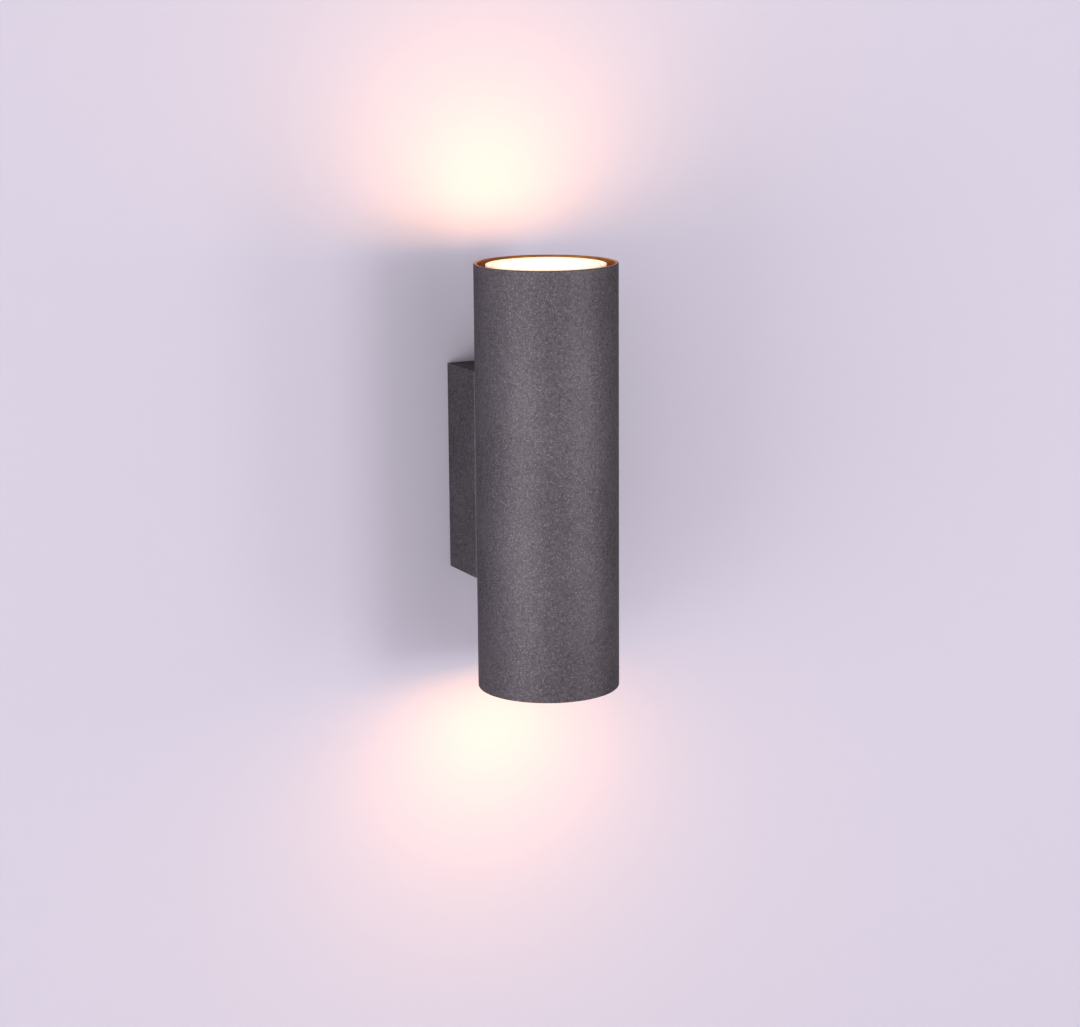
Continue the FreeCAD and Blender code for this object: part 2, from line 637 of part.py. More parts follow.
def keyhole_tools(name, side):
    """Round entry hole, narrow curved slot and contact chamber for one pin."""
    slot = "pin_neck + seat_gap * 2"
    entry = "pin_head + seat_gap * 2"
    radius = f"{side}pin_pitch / 2"
    outer = doc.addObject("Part::Cylinder", name + "_slot_outer")
    bind(outer, {"Radius": f"pin_pitch / 2 + ({slot}) / 2", "Height": "holder_face", "Angle": "twist_angle"})
    inner = cylinder(name + "_slot_inner", f"pin_pitch - ({slot})", "holder_face")
    curve = cut(name + "_slot", outer, [inner])
    place(curve, z="-holder_face", turn=NO_TURN if side == "" else HALF_TURN)
    locked = cylinder(name + "_locked_end", slot, "holder_face", x=radius, z="-holder_face")
    open_x = f"{side}pin_pitch / 2 * cos(twist_angle)"
    open_y = f"{side}pin_pitch / 2 * sin(twist_angle)"
    opened = cylinder(name + "_entry", entry, "holder_face", x=open_x, y=open_y, z="-holder_face")
    low = f"-({entry}) / 2"
    high = f"pin_pitch / 2 * sin(twist_angle) + ({entry}) / 2"
    wall_side = f"pin_pitch / 2 * cos(twist_angle) - ({entry}) / 2"
    outer_side = "pin_pitch / 2 + pin_head / 2 + seat_gap * 2 + contact_sheet * 2"
    chamber = block(name + "_chamber", f"{outer_side} - ({wall_side})", f"{high} - ({low})",
                    "holder_height - holder_face", x=f"{side}({outer_side} + {wall_side}) / 2",
                    y=f"{side}({high} + {low}) / 2", z="-holder_height")
    return [curve, locked, opened, chamber]


def make_lampholder(end):
    """Ceramic twist-lock holder: two keyhole slots in its raised middle, and on each side
    a lowered shoulder whose screw notch is open to the edge."""
    name = f"lampholder_{end}"
    body = cylinder(name + "_blank", "holder_diameter", "holder_height", z="-holder_height")
    tools = keyhole_tools(name + "_right", "") + keyhole_tools(name + "_left", "-")
    bore = "holder_screw_diameter + hole_gap * 2"
    for side, word in (("", "back"), ("-", "front")):
        y = f"{side}holder_screw_offset"
        tools.append(cylinder(f"{name}_screw_hole_{word}", bore, "holder_height", y=y, z="-holder_height"))
        tools.append(block(f"{name}_screw_notch_{word}", bore, "holder_diameter / 2", "holder_height",
                           y=f"{side}(holder_screw_offset + holder_diameter / 4)", z="-holder_height"))
        tools.append(block(f"{name}_shoulder_{word}", "holder_diameter",
                           "(holder_diameter - holder_boss) / 2", "holder_screw_diameter",
                           y=f"{side}(holder_diameter + holder_boss) / 4", z="-holder_screw_diameter"))
    return cut(name, body, tools)


def make_holder_cover(end):
    """Ceramic plate that closes the holder's chambers, with wire and screw holes."""
    name = f"holder_cover_{end}"
    plate = cylinder(name + "_blank", "holder_diameter", "holder_cover_height", z="-holder_cover_height")
    holes = []
    for side, word in (("", "one"), ("-", "two")):
        holes.append(cylinder(f"{name}_wire_hole_{word}", "wire_hole", "holder_cover_height",
                              x=f"{side}wire_hole_offset", z="-holder_cover_height"))
        holes.append(cylinder(f"{name}_screw_hole_{word}", "holder_screw_diameter + hole_gap * 2",
                              "holder_cover_height", y=f"{side}holder_screw_offset",
                              z="-holder_cover_height"))
    return cut(name, plate, holes)


def make_contacts(end):
    """Two bent strips beside the pin heads, each on a foot over its wire hole."""
    name = f"contacts_{end}"
    inner = "pin_pitch / 2 + pin_head / 2 + seat_gap"
    strips = []
    for side, word in (("", "right"), ("-", "left")):
        upright = block(f"{name}_upright_{word}", "contact_sheet", "contact_width",
                        "holder_height - holder_face - contact_top",
                        x=f"{side}({inner} + contact_sheet / 2)")
        foot_inner = "wire_hole_offset - wire_hole / 2"
        foot = block(f"{name}_foot_{word}", f"{inner} + contact_sheet - ({foot_inner})", "contact_width",
                     "contact_sheet", x=f"{side}({inner} + contact_sheet + {foot_inner}) / 2")
        strips.append(fuse(f"{name}_{word}", [upright, foot]))
    return group(name, strips)


def make_holder_screws(end):
    """Screws from the holder's face through holder and rear plate into the tab."""
    name = f"holder_screws_{end}"
    length = "holder_height - holder_screw_diameter + holder_cover_height + bridge_sheet + holder_screw_reach"
    screws = []
    for side, word in (("", "one"), ("-", "two")):
        item = screw(f"{name}_{word}", "holder_screw_diameter", length)
        screws.append(place(item, y=f"{side}holder_screw_offset"))
    return group(name, screws)


# Lamps: built with the foot at Z = 0 and the front up ----------------------------------

def make_lamp_base(end):
    """Hollow insulating cap, with two holes for the pins."""
    name = f"lamp_base_{end}"
    foot, waist, wall = "base_foot / 2", "lamp_waist / 2", "lamp_wall"
    body = turned(name, [
        ("0", "0"), (foot, "0"), (waist, "base_height / 2"), (waist, "base_height"),
        (f"{waist} - {wall}", "base_height"), (f"{waist} - {wall}", "base_height / 2"),
        (f"{foot} - {wall}", "base_floor"), ("0", "base_floor")])
    holes = sketch_on(body, "XY_Plane", name + "_pin_holes")
    for side in ("", "-"):
        circle(holes, "pin_neck + thread_gap * 2", x=f"{side}pin_pitch / 2")
    body.Tip = pocket(body, holes, "base_floor * 2", symmetric=True)
    return body


def make_lamp_pins(end):
    """Two pins, each a neck with a wider head below."""
    pins = []
    for side, word in (("", "right"), ("-", "left")):
        x = f"{side}pin_pitch / 2"
        name = f"lamp_pin_{end}_{word}"
        neck = cylinder(name + "_neck", "pin_neck", "pin_stub + pin_neck_length", x=x, z="-pin_neck_length")
        head = cylinder(name + "_head", "pin_head", "pin_head_length",
                        x=x, z="-pin_neck_length - pin_head_length")
        pins.append(fuse(name, [neck, head]))
    return group(f"lamp_pins_{end}", pins)


def make_lamp_shell(end):
    """Funnel-shaped housing with a ledge for the light board and a rim round the lens."""
    waist, wall, rim = "lamp_waist / 2", "lamp_wall", "shell_radius"
    lens_bore = "lens_diameter / 2 + lens_gap"
    cone = f"{waist} + (board_seat - base_height) * cone_slope"
    recess = "board_radius + thread_gap"
    return turned(f"lamp_shell_{end}", [
        (f"{waist} - {wall}", "base_height"), (waist, "base_height"), (rim, "cone_top"),
        (rim, "lamp_length"), (lens_bore, "lamp_length"), (lens_bore, "lens_seat"),
        (f"{lens_bore} - {wall}", "lens_seat"), (recess, "board_top"),
        (recess, "board_seat"), (f"{recess} - board_ledge", "board_seat"),
        (f"{cone} - {wall} - board_ledge - board_thickness * cone_slope",
         "board_seat - board_thickness * 2")])


def make_lamp_lens(end):
    """Front lens: a border, a groove, a low ring and a raised flat middle."""
    rim = "lens_diameter / 2"
    groove = f"{rim} - lens_border - lens_groove_width"
    middle = f"{groove} - lens_ring_width"
    return turned(f"lamp_lens_{end}", [
        ("0", "lens_seat"), (rim, "lens_seat"), (rim, "lens_top - lens_step"),
        (f"{rim} - lens_border", "lens_top - lens_step"),
        (f"{rim} - lens_border", "lens_top - lens_step - lens_groove_depth"),
        (groove, "lens_top - lens_step - lens_groove_depth"), (groove, "lens_top - lens_step"),
        (middle, "lens_top - lens_step"), (middle, "lens_top"), ("0", "lens_top")])


def make_led_board(end):
    """Round board with the light source in its middle."""
    name = f"led_board_{end}"
    board = cylinder(name + "_disc", "board_radius * 2", "board_thickness", z="board_seat")
    source = cylinder(name + "_source", "source_diameter", "source_height", z="board_top")
    return fuse(name, [board, source])


def make_driver_board(end):
    """Upright board on the base's floor, with a transformer and a capacitor."""
    name = f"driver_board_{end}"
    board = block(name + "_sheet", "driver_width", "driver_thickness", "driver_height", z="base_floor")
    coil = block(name + "_coil", "driver_width / 2", "driver_width / 3", "driver_height / 3",
                 y="driver_thickness / 2 + driver_width / 6", z="base_floor + driver_height / 2")
    can = cylinder(name + "_can", "driver_width / 3", "driver_height / 3",
                   y="-driver_width / 6", z="base_floor + driver_height / 2")
    return fuse(name, [board, coil, can])


def place_in_tube(item, end, level):
    """Put a piece of one end of the tube on the tube's axis, at a level from its middle."""
    if end == "upper":
        return place(item, y="-axis_to_wall", z=f"tube_rise + {level}")
    return place(item, y="-axis_to_wall", z=f"tube_rise - ({level})", turn=UPSIDE_DOWN)


# Wires ---------------------------------------------------------------------------------

def wire_solid(route, diameter, tightest):
    """Round wire along straight runs joined by tangent arcs. Each arc is as large as its
    two runs allow, up to the given radius."""
    points = [FreeCAD.Vector(*point) for point in route]
    edges = []
    start = points[0]
    for before, corner, after in zip(points, points[1:], points[2:]):
        back, ahead = (before - corner), (after - corner)
        run = min(back.Length, ahead.Length)
        back.normalize()
        ahead.normalize()
        half_turn = (math.pi - back.getAngle(ahead)) / 2
        radius = min(0.45 * run / math.tan(half_turn), tightest)
        setback = radius * math.tan(half_turn)
        middle_way = back + ahead
        middle_way.normalize()
        inner = corner + middle_way * (radius / math.cos(half_turn) - radius)
        arc_start, arc_end = corner + back * setback, corner + ahead * setback
        edges.append(Part.LineSegment(start, arc_start).toShape())
        edges.append(Part.Arc(arc_start, inner, arc_end).toShape())
        start = arc_end
    edges.append(Part.LineSegment(start, points[-1]).toShape())
    path = Part.Wire(edges)
    direction = points[1] - points[0]
    section = Part.Wire(Part.makeCircle(diameter / 2, points[0], direction))
    solid = path.makePipeShell([section], True, False)
    expected = math.pi * diameter ** 2 / 4 * path.Length
    if abs(solid.Volume - expected) > 0.01 * expected:
        raise RuntimeError("a wire's volume doesn't match its length")
    return solid


def shape_feature(name, solids):
    item = doc.addObject("Part::Feature", name)
    item.Shape = solids[0] if len(solids) == 1 else Part.makeCompound(solids)
    return item


def lead_route(side, slot, end):
    """Lead from a terminal sleeve, over the block, down to the grommet, into the tube and
    up or down to its holder. Side is -1 or 1, and slot counts the leads from the middle."""
    rise, axis = size("tube_rise"), -size("axis_to_wall")
    pole = side * (size("pole_pitch") / 2 + (slot - 1) * size("lead_diameter + thread_gap * 2"))
    row = side * slot * size("lead_pitch")
    block_top = size("block_level + block_length")
    sleeve, front = -size("bracket_sheet + sleeve_depth"), -size("lead_front")
    way = 1 if end == "upper" else -1
    hole_x = side * size("wire_hole_offset")
    return [
        (pole, sleeve, block_top - size("lead_entry")),
        (pole, sleeve, block_top + 8),
        ((pole * 3 + row) / 4, (sleeve + front) / 2, block_top + 13),
        ((pole + row) / 2, front, block_top + 7),
        (row, front, rise + 9),
        (row, front - 2, rise),
        (row, axis + size("bridge_front") - 8, rise),
        (hole_x, axis, rise + way * size("tab_top") / 3),
        (hole_x, axis, rise + way * size("cover_top")),
    ]


def make_lead_wires(end):
    slot = 1.5 if end == "upper" else 0.5
    solids = []
    for side in (-1, 1):
        solids.append(wire_solid(lead_route(side, slot, end), size("lead_diameter"), 6))
    return shape_feature(f"lead_wires_{end}", solids)


def make_earth_wire():
    """Earth wire from the bracket's tag, round the bottom of the box, to the tube's tag."""
    barrel = size("tag_barrel / 2")
    bracket_y = -size("bracket_sheet") - barrel
    tube_y = -size("box_inside") + barrel
    start_z = -size("earth_screw_drop + tag_reach")
    end_z = size("tube_rise - tube_screw_level - tag_reach")
    side = -size("earth_screw_side")
    low = -size("flap_inside") + 4
    route = [(side, bracket_y, start_z), (side, bracket_y, start_z - 4), (side * 0.8, bracket_y - 5, low),
             (side * 0.3, tube_y + 6, low), (0, tube_y, end_z - 7), (0, tube_y, end_z)]
    return shape_feature("earth_wire", [wire_solid(route, size("earth_wire_diameter"), 8)])


# Assembly ------------------------------------------------------------------------------

def build():
    pieces = [
        make_tube(), make_wall_box(), make_wall_bracket(), make_cover_screws(),
        make_tube_washers(), make_tube_screws(), make_bridge_nuts(), make_holder_bridge(),
        make_cable_grommet(), make_terminal_block(), make_terminal_sleeves(),
        make_terminal_screws(), make_block_screw(), make_earth_screw(), make_earth_washer(),
        make_earth_tags(), make_earth_wire(),
    ]
    for end in ("upper", "lower"):
        pieces.append(place_in_tube(make_lampholder(end), end, "holder_top"))
        pieces.append(place_in_tube(make_holder_cover(end), end, "cover_top"))
        pieces.append(place_in_tube(make_contacts(end), end, "cover_top"))
        pieces.append(place_in_tube(make_holder_screws(end), end, "holder_top - holder_screw_diameter"))
        for make in (make_lamp_base, make_lamp_pins, make_lamp_shell, make_lamp_lens,
                     make_led_board, make_driver_board):
            pieces.append(place_in_tube(make(end), end, "lamp_foot"))
        pieces.append(make_lead_wires(end))
    doc.recompute()
    return pieces


def check(pieces):
    for item in doc.Objects:
        if "Invalid" in item.State or "Error" in item.State:
            raise RuntimeError(f"{item.Name} failed: {item.State}")
    for item in pieces:
        if item.Shape.isNull() or not item.Shape.isValid() or not item.Shape.Solids:
            raise RuntimeError(f"{item.Label} has no sound solid")


def export(pieces):
    os.makedirs("parts", exist_ok=True)
    for item in pieces:
        item.Shape.exportStep(f"parts/{item.Label}.step")
        box = item.Shape.BoundBox
        print(f"{item.Label}: {len(item.Shape.Solids)} solid(s), X {box.XMin:.1f}..{box.XMax:.1f} "
              f"Y {box.YMin:.1f}..{box.YMax:.1f} Z {box.ZMin:.1f}..{box.ZMax:.1f}")


pieces = build()
check(pieces)
export(pieces)
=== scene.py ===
# %% [markdown]
# # A tube wall light
#
# The real thing is a round aluminium tube, powder-coated in a fine-textured anthracite,
# with a 50 mm reflector lamp at each end. A small folded box holds it off the wall. The
# construction comes ready-made, one mesh for each part. This lesson adds what the eye
# sees: the finishes, the lit lamps, the light in the room and the camera.

import json
import math

import bpy
from mathutils import Euler, Matrix, Vector


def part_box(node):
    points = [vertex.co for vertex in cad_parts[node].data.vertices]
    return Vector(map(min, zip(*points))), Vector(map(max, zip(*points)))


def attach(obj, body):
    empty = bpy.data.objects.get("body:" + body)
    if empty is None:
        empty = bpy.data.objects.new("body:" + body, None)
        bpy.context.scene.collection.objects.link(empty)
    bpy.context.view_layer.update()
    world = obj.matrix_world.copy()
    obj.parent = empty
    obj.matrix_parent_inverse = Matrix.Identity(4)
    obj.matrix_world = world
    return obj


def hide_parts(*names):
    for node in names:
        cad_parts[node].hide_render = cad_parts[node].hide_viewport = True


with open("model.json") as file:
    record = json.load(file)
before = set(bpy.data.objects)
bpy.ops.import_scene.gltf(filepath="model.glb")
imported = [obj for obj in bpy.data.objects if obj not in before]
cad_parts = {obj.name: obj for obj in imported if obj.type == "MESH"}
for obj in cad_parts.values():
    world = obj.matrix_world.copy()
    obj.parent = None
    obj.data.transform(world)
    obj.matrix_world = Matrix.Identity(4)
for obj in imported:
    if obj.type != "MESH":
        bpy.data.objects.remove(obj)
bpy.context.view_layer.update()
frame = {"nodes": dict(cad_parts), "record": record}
NODES = frame["nodes"]

# %% [markdown]
# ## Sizes read from the construction
#
# Each part tells its own box, and radii, levels and the tube's axis come from those boxes,
# in metres. Only sizes that no box tells are written as numbers.

# %% Sizes
MM = 0.001


def span(node):
    """Lowest and highest corner of a part, as two vectors."""
    low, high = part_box(node)
    return Vector(low), Vector(high)


lens_low, lens_high = span("lamp_lens_upper")
shell_low, shell_high = span("lamp_shell_upper")
tube_low, tube_high = span("tube")
AXIS_X = (shell_low.x + shell_high.x) / 2
AXIS_Y = (shell_low.y + shell_high.y) / 2
TUBE_TOP = tube_high.z
TUBE_FOOT = tube_low.z
TUBE_MIDDLE = (TUBE_TOP + TUBE_FOOT) / 2
TUBE_RADIUS = (tube_high.x - tube_low.x) / 2
LENS_RADIUS = (lens_high.x - lens_low.x) / 2
SHELL_FACE = shell_high.z

# A box can't tell these: the tube's sheet and its rounded rims, and the lens's moulding.
TUBE_WALL = 1.3 * MM
ROUNDING = 0.35 * MM
BORDER, GROOVE, GROOVE_DEPTH = 1.1 * MM, 0.7 * MM, 0.5 * MM
LOW_RING, STEP, SOFT = 2.6 * MM, 0.3 * MM, 0.12 * MM
print("tube axis at", AXIS_X, AXIS_Y, "lens radius", LENS_RADIUS)

# %% [markdown]
# ## The camera
#
# The camera was found from the photograph: the tube's two straight edges, its end
# ellipses and the corners of the wall box fix where it stood. It looks a little down, from
# the light's left, through a lens of about 86 mm on a frame 36 mm wide.

# %% Camera
PHOTO_WIDTH = 1080
FOCAL_PIXELS = 2571
SENSOR = 36.0
CAMERA_PLACE = Vector((-0.4767, AXIS_Y - 0.9435, TUBE_MIDDLE + 0.2115))
YAW, PITCH, ROLL = 26.63, 12.13, -0.43

camera_data = bpy.data.cameras.new("camera")
camera_data.sensor_width = SENSOR
camera_data.lens = SENSOR * FOCAL_PIXELS / PHOTO_WIDTH
camera_data.clip_start = 0.01
camera = bpy.data.objects.new("camera", camera_data)
bpy.context.scene.collection.objects.link(camera)
turn = Euler((0, 0, math.radians(-YAW))).to_matrix()
turn = turn @ Euler((math.radians(90 - PITCH), 0, 0)).to_matrix()
turn = turn @ Euler((0, 0, math.radians(ROLL))).to_matrix()
camera.matrix_world = Matrix.Translation(CAMERA_PLACE) @ turn.to_4x4()
bpy.context.scene.camera = camera
print("lens", round(camera_data.lens, 1), "mm")

# %% [markdown]
# ## Writing a material as sums
#
# A finish is easier to read as an expression than as a drawing of nodes. `Value` wraps one
# output of a node, and adding, subtracting or multiplying two of them adds the Math node
# that does it. `Finish` is one material: its `node` method makes any other node.

# %% Shader helpers
class Value:
    """One number or colour that a node gives, ready to be calculated with."""

    def __init__(self, finish, socket):
        self.finish, self.socket = finish, socket

    def maths(self, operation, first, second=0.0):
        return self.finish.node("ShaderNodeMath", {"operation": operation}, {0: first, 1: second})

    def __add__(self, other):
        return self.maths("ADD", self, other)

    def __sub__(self, other):
        return self.maths("SUBTRACT", self, other)

    def __rsub__(self, other):
        return self.maths("SUBTRACT", other, self)

    def __mul__(self, other):
        return self.maths("MULTIPLY", self, other)

    def __abs__(self):
        return self.maths("ABSOLUTE", self)

    __radd__ = __add__
    __rmul__ = __mul__

    def ramp(self, start, end):
        """0 below start, 1 above end, and smooth between them."""
        limits = {"Value": self, "From Min": start, "From Max": end}
        return self.finish.node("ShaderNodeMapRange", {"interpolation_type": "SMOOTHSTEP"}, limits)


class Finish:
    """One procedural material."""

    def __init__(self, name):
        self.material = bpy.data.materials.new(name)
        self.material.use_nodes = True
        self.nodes = self.material.node_tree.nodes
        self.links = self.material.node_tree.links
        self.nodes.clear()
        self.place = self.node("ShaderNodeTexCoord", output="Object")

    def node(self, kind, settings=None, inputs=None, output=0):
        """Add a node, set it up, feed its sockets and return one of its outputs."""
        item = self.nodes.new(kind)
        for name, value in (settings or {}).items():
            setattr(item, name, value)
        for name, value in (inputs or {}).items():
            if isinstance(value, Value):
                self.links.new(value.socket, item.inputs[name])
            else:
                item.inputs[name].default_value = value
        return None if output is None else Value(self, item.outputs[output])

    def noise(self, grains_per_metre, detail=2.0, roughness=0.5, place=None):
        """Soft spots from 0 to 1."""
        inputs = {"Vector": place or self.place, "Scale": grains_per_metre, "Detail": detail,
                  "Roughness": roughness}
        return self.node("ShaderNodeTexNoise", None, inputs)

    def blend(self, factor, first, second):
        """Colour that goes from the first to the second as the factor goes from 0 to 1."""
        item = self.nodes.new("ShaderNodeMix")
        item.data_type = "RGBA"
        for index, value in ((0, factor), (6, first), (7, second)):
            if isinstance(value, Value):
                self.links.new(value.socket, item.inputs[index])
            else:
                item.inputs[index].default_value = value
        return Value(self, item.outputs[2])

    def bump(self, height, depth, strength=1.0):
        """Relief of the given depth in metres, as a Normal."""
        inputs = {"Height": height, "Distance": depth, "Strength": strength}
        return self.node("ShaderNodeBump", None, inputs)

    def surface(self, **sockets):
        """Finish the material with a Principled shader, its sockets given by name."""
        inputs = {name.replace("_", " "): value for name, value in sockets.items()}
        shader = self.node("ShaderNodeBsdfPrincipled", None, inputs)
        self.node("ShaderNodeOutputMaterial", None, {"Surface": shader}, output=None)
        return self.material


def colour(red, green, blue):
    """A colour written as on a screen, 0 to 255, as the linear values that shaders use."""
    def linear(value):
        value /= 255
        return value / 12.92 if value <= 0.04045 else ((value + 0.055) / 1.055) ** 2.4
    return (linear(red), linear(green), linear(blue), 1.0)


print("shader helpers ready")

# %% [markdown]
# ## The anthracite coat
#
# The tube and the wall box are powder-coated. Up close the coat is a fine sand of small
# lumps, about half a millimetre across, with metallic flecks, some lighter and some darker
# than the rest. One noise makes the lumps, which also raise the surface, and one each makes
# the light and the dark flecks. Patches of a millimetre or two and a slow drift keep the
# large faces from being flat. A dark tint at grazing angles keeps the edges of the tube dim.

# %% Coat
COAT_DARK = colour(75, 72, 75)
COAT_LIGHT = colour(111, 107, 110)
FLECK_LIGHT = colour(150, 144, 146)
FLECK_DARK = colour(34, 31, 34)
LUMPS_PER_METRE = 1500
FLECKS_PER_METRE = 1500
PATCHES_PER_METRE = 650
DRIFTS_PER_METRE = 30
LUMP_HEIGHT = 0.17 * MM
FLECKS_FROM, FLECKS_FULL = 0.60, 0.66
APART = (0.7, 0.3, 0.5)


def coat_colour(finish):
    """Colour and lump height of the textured coat."""
    lumps = finish.noise(LUMPS_PER_METRE, detail=3, roughness=0.6)
    drift = finish.noise(DRIFTS_PER_METRE, detail=2)
    patches = finish.noise(PATCHES_PER_METRE, detail=2, roughness=0.6)
    mix = lumps.ramp(0.32, 0.68) * 0.5 + patches.ramp(0.35, 0.65) * 0.3
    mix = mix + drift.ramp(0.3, 0.7) * 0.2
    ground = finish.blend(mix, COAT_DARK, COAT_LIGHT)
    light = finish.noise(FLECKS_PER_METRE, detail=2).ramp(FLECKS_FROM, FLECKS_FULL)
    moved = finish.node("ShaderNodeVectorMath", {"operation": "ADD"}, {0: finish.place, 1: APART})
    dark = finish.noise(FLECKS_PER_METRE, detail=2, place=moved).ramp(FLECKS_FROM, FLECKS_FULL)
    flecked = finish.blend(light * 0.36, ground, FLECK_LIGHT)
    return finish.blend(dark * 0.4, flecked, FLECK_DARK), lumps


def anthracite_coat():
    finish = Finish("anthracite_coat_finish")
    paint, lumps = coat_colour(finish)
    return finish.surface(Base_Color=paint, Metallic=0.72, Roughness=lumps * 0.25 + 0.38,
                          Specular_IOR_Level=0.3, Specular_Tint=(0.22, 0.21, 0.22, 1),
                          Normal=finish.bump(lumps, LUMP_HEIGHT))


# %% [markdown]
# ## The bronze inside of the tube
#
# Between the lamp and the tube a strip of the inside shows. It is a satin bronze, and the
# light that leaks through the lamp's rim makes it glow orange. Fine marks run round it. On
# the tube's rims the same bronze is a painted warm highlight.

# %% Bronze inside
MARKS_PER_METRE, MARKS_STRETCH = 220, 14.0


def bronze_inside():
    finish = Finish("bronze_inside_finish")
    drawn = finish.node("ShaderNodeMapping", None,
                        {"Vector": finish.place, "Scale": (1.0, 1.0, MARKS_STRETCH)})
    marks = finish.noise(MARKS_PER_METRE, detail=3, place=drawn)
    tone = finish.blend(marks.ramp(0.3, 0.7), colour(150, 94, 44), colour(182, 124, 64))
    return finish.surface(Base_Color=tone, Metallic=0.85, Roughness=marks * 0.2 + 0.3,
                          Normal=finish.bump(marks, 0.02 * MM, 0.4))


print("coat and inside finishes written")

# %% [markdown]
# ## The lit lens
#
# The lens is far brighter than the room, so its middle is white and only its edge shows
# how warm the light is. The colour it gives off follows the moulding, by distance from the
# lamp's edge: a cream border, a dark groove, a beige ring and the white middle.

# %% Lens finish
LENS_STRENGTH = 1.65
MIDDLE_GLOW = (1.0, 0.94, 0.80, 1)
RING_GLOW = (0.53, 0.425, 0.285, 1)
BORDER_GLOW = (0.62, 0.51, 0.36, 1)
GROOVE_GLOW = (0.22, 0.17, 0.12, 1)


def distance_from_axis(finish):
    """Distance of each point from the tube's axis, in metres."""
    centred = finish.node("ShaderNodeMapping", {"vector_type": "POINT"},
                          {"Vector": finish.place, "Location": (-AXIS_X, -AXIS_Y, 0)})
    flat = finish.node("ShaderNodeVectorMath", {"operation": "MULTIPLY"},
                       {0: centred, 1: (1, 1, 0)})
    return finish.node("ShaderNodeVectorMath", {"operation": "LENGTH"}, {0: flat}, "Value")


def lit_lens():
    finish = Finish("lit_lens_finish")
    inwards = LENS_RADIUS - distance_from_axis(finish)
    groove_end = BORDER + GROOVE
    ring_end = groove_end + LOW_RING
    past_border = inwards.ramp(BORDER - 0.1 * MM, BORDER + 0.2 * MM)
    past_groove = inwards.ramp(groove_end - 0.2 * MM, groove_end + 0.1 * MM)
    past_ring = inwards.ramp(ring_end - 0.4 * MM, ring_end + 2.2 * MM)
    glow = finish.blend(1 - past_ring, MIDDLE_GLOW, RING_GLOW)
    glow = finish.blend(1 - past_border, glow, BORDER_GLOW)
    glow = finish.blend(past_border - past_groove, glow, GROOVE_GLOW)
    return finish.surface(Base_Color=colour(140, 136, 128), Roughness=0.22, Specular_IOR_Level=0.5,
                          Emission_Color=glow, Emission_Strength=LENS_STRENGTH)


# %% [markdown]
# ## The lamp's shell
#
# The shell is white moulded plastic, thin enough for some light to come through. A little
# orange light given off by the plastic itself stands for that: cream at the face, and less
# and less down the side. The lamp's base is the same plastic without the light.

# %% Shell finish
FACE_GLOW = (0.60, 0.45, 0.28, 1)
SIDE_GLOW = (0.28, 0.10, 0.02, 1)
DEEP_GLOW = (0.02, 0.006, 0.001, 1)
GLOW_DEPTH = 14 * MM
MOULD_PER_METRE = 900


def plastic(name, glow=None):
    """White moulded plastic. The glow, if any, is a function of the finish that tells how
    much light the plastic gives off."""
    finish = Finish(name)
    mould = finish.noise(MOULD_PER_METRE, detail=2)
    tone = finish.blend(mould, colour(206, 200, 188), colour(222, 217, 206))
    light = {"Emission_Color": glow(finish), "Emission_Strength": 1.0} if glow else {}
    return finish.surface(Base_Color=tone, Roughness=mould * 0.15 + 0.45,
                          Normal=finish.bump(mould, 0.02 * MM, 0.3), **light)


def shell_light(finish):
    """Light that comes through the shell, by how far it is from the lamp's face."""
    level = finish.node("ShaderNodeSeparateXYZ", None, {"Vector": finish.place}, output="Z")
    from_middle = abs(level - TUBE_MIDDLE)
    reach = SHELL_FACE - TUBE_MIDDLE
    at_face = from_middle.ramp(reach - 1.0 * MM, reach - 0.2 * MM)
    near_face = from_middle.ramp(reach - GLOW_DEPTH, reach - 1.0 * MM)
    return finish.blend(at_face, finish.blend(near_face, DEEP_GLOW, SIDE_GLOW), FACE_GLOW)


SHELL_PLASTIC = plastic("shell_glow_finish", shell_light)
print("lamp finishes written")

# %% [markdown]
# ## The pieces out of sight
#
# From behind and in the gaps, metal, ceramic, nylon and insulation show. Each has its own
# small finish, built on the same plan: a tone that varies, and a fine relief.

# %% Small finishes
SPANGLES_PER_METRE, ZINC_GRAINS = 260.0, 600
STRIPES_PER_METRE, SLEEVE_GRAINS = 90.0, 1500


def plain_finish(name, first, second, grains, rough, metal, relief):
    """Two tones mixed by a noise, with a fine relief from the same noise."""
    finish = Finish(name + "_finish")
    grain = finish.noise(grains, detail=3, roughness=0.6)
    tone = finish.blend(grain.ramp(0.3, 0.7), colour(*first), colour(*second))
    return finish.surface(Base_Color=tone, Metallic=metal, Roughness=grain * 0.2 + (rough - 0.1),
                          Normal=finish.bump(grain, relief * MM, 0.4))


def zinc_sheet():
    """Zinc plate: spangles a few millimetres across, under a finer grain."""
    finish = Finish("zinc_sheet_finish")
    spangle = finish.node("ShaderNodeTexVoronoi", {"feature": "F1"},
                          {"Vector": finish.place, "Scale": SPANGLES_PER_METRE}, "Color")
    tint = finish.node("ShaderNodeRGBToBW", None, {"Color": spangle})
    grain = finish.noise(ZINC_GRAINS, detail=3)
    tone = finish.blend(tint * 0.7 + grain * 0.3, colour(150, 152, 152), colour(190, 191, 188))
    return finish.surface(Base_Color=tone, Metallic=0.9, Roughness=grain * 0.25 + 0.28,
                          Normal=finish.bump(grain, 0.01 * MM, 0.4))


